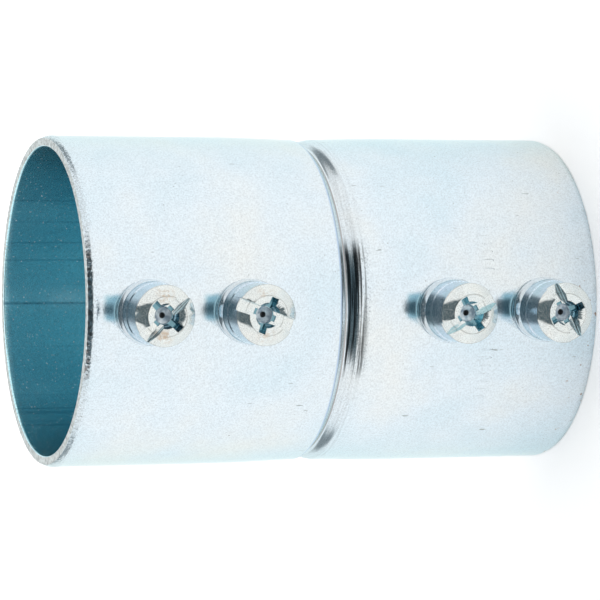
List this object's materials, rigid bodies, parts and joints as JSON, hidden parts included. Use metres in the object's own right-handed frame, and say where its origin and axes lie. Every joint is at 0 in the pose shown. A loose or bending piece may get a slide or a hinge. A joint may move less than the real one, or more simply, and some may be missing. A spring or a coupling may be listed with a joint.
{
  "type": "conduit set-screw coupling",
  "caption": "Plated steel coupling tube for thin-wall conduit: a rolled groove forms the stop half way along, and set screws in a line along one side clamp a conduit in each end.",
  "frame": {"origin": "middle of the footprint's bounding box at the lower rim; the conduit's axis is parallel to Z at x = 0, y = 4.475 mm", "axes": "+Z along the conduit from the lower end to the upper end; -Y is the side the set screws point to; +X completes the right-handed frame"},
  "size_m": [0.048, 0.057, 0.077],
  "materials": {
    "plated_tube": "clear-blue zinc plating, satin, with faint lengthwise drawing lines and small handling marks",
    "plated_screw": "clear-blue zinc plating, bright"
  },
  "bodies": {
    "coupling": {"coupling_body": "plated_tube"},
    "upper_outer_screw_body": {"upper_outer_screw": "plated_screw"},
    "upper_inner_screw_body": {"upper_inner_screw": "plated_screw"},
    "lower_inner_screw_body": {"lower_inner_screw": "plated_screw"},
    "lower_outer_screw_body": {"lower_outer_screw": "plated_screw"}
  },
  "joints": [
    {"name": "upper_outer_screw_travel", "type": "slide", "parent": "coupling", "child": "upper_outer_screw_body", "axis": [0, -1, 0], "range_m": [0, 0.0045]},
    {"name": "upper_inner_screw_travel", "type": "slide", "parent": "coupling", "child": "upper_inner_screw_body", "axis": [0, -1, 0], "range_m": [0, 0.0045]},
    {"name": "lower_inner_screw_travel", "type": "slide", "parent": "coupling", "child": "lower_inner_screw_body", "axis": [0, -1, 0], "range_m": [0, 0.0045]},
    {"name": "lower_outer_screw_travel", "type": "slide", "parent": "coupling", "child": "lower_outer_screw_body", "axis": [0, -1, 0], "range_m": [0, 0.0045]}
  ]
}
